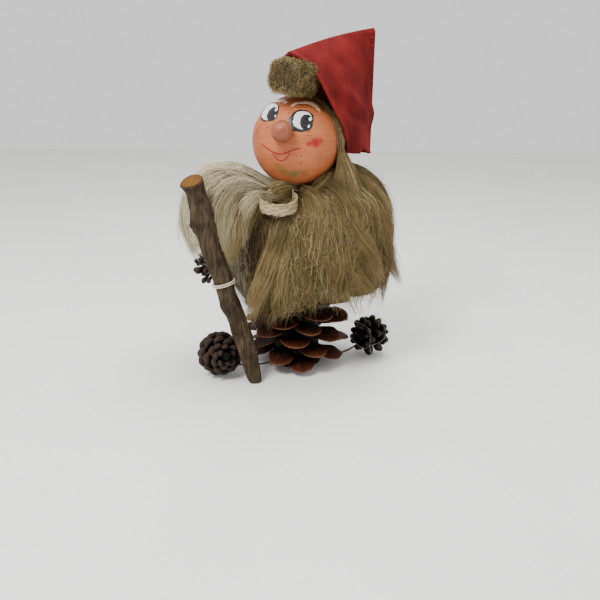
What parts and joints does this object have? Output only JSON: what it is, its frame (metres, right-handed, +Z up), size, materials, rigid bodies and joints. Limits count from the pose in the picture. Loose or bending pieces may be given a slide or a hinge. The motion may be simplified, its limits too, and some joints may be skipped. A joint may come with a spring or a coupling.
{
  "type": "pine cone gnome figurine",
  "caption": "Handmade gnome with a pine cone body, cone feet and hands, a painted wooden ball head, a felt hood, long fur and a twig staff.",
  "frame": {"origin": "middle of the sawn flat face that the body cone stands on", "axes": "+Z up the figure, -Y the side that the chest faces, +X the figure's left"},
  "size_m": [0.1859, 0.1138, 0.2778],
  "materials": {
    "cone_scale": "dry woody scales, dark inside, red-brown faces and pale thin rims",
    "small_cone_scale": "dry dark umber scales with grey-brown tips",
    "face_paint": "salmon paint on turned wood, satin, with fine cracks and chips",
    "red_felt": "dull brick red wool felt, worn lighter along its folds",
    "fur": "long straw to golden brown fur",
    "pale_fur": "long pale cream fur",
    "dowel_wood": "bare dowel",
    "iron_wire": "brown oxidised soft iron wire",
    "string": "cream cotton string",
    "raw_hide": "stiff cream raw hide",
    "bark": "grey-brown bark, orange-tan where it is cut"
  },
  "bodies": {
    "figure": {"body_cone": "cone_scale", "neck_dowel": "dowel_wood", "arm_wire": "iron_wire", "hand_cone_right": "small_cone_scale", "hand_cone_left": "small_cone_scale", "leg_wire": "iron_wire", "foot_cone_right": "small_cone_scale", "foot_cone_left": "small_cone_scale", "foot_tie": "string", "staff_tie": "string", "beard": "fur", "fur_sleeve_right": "pale_fur", "fur_sleeve_left": "fur", "fur_back": "fur", "hide_collar": "raw_hide"},
    "head": {"head_ball": "face_paint", "nose": "face_paint", "hood": "red_felt", "fringe": "fur", "hair": "fur"},
    "staff": {"staff": "bark"}
  },
  "joints": [
    {"name": "head_turn", "type": "hinge", "parent": "figure", "child": "head", "pos_m": [-0.0015, -0.01, 0.192], "axis": [-0.0257, -0.1622, 0.9864], "range_deg": [-35, 35]},
    {"name": "staff_turn", "type": "hinge", "parent": "figure", "child": "staff", "pos_m": [-0.05847, -0.0475, 0.086], "axis": [-0.2656, 0, 0.9641], "range_deg": [-30, 30]}
  ]
}
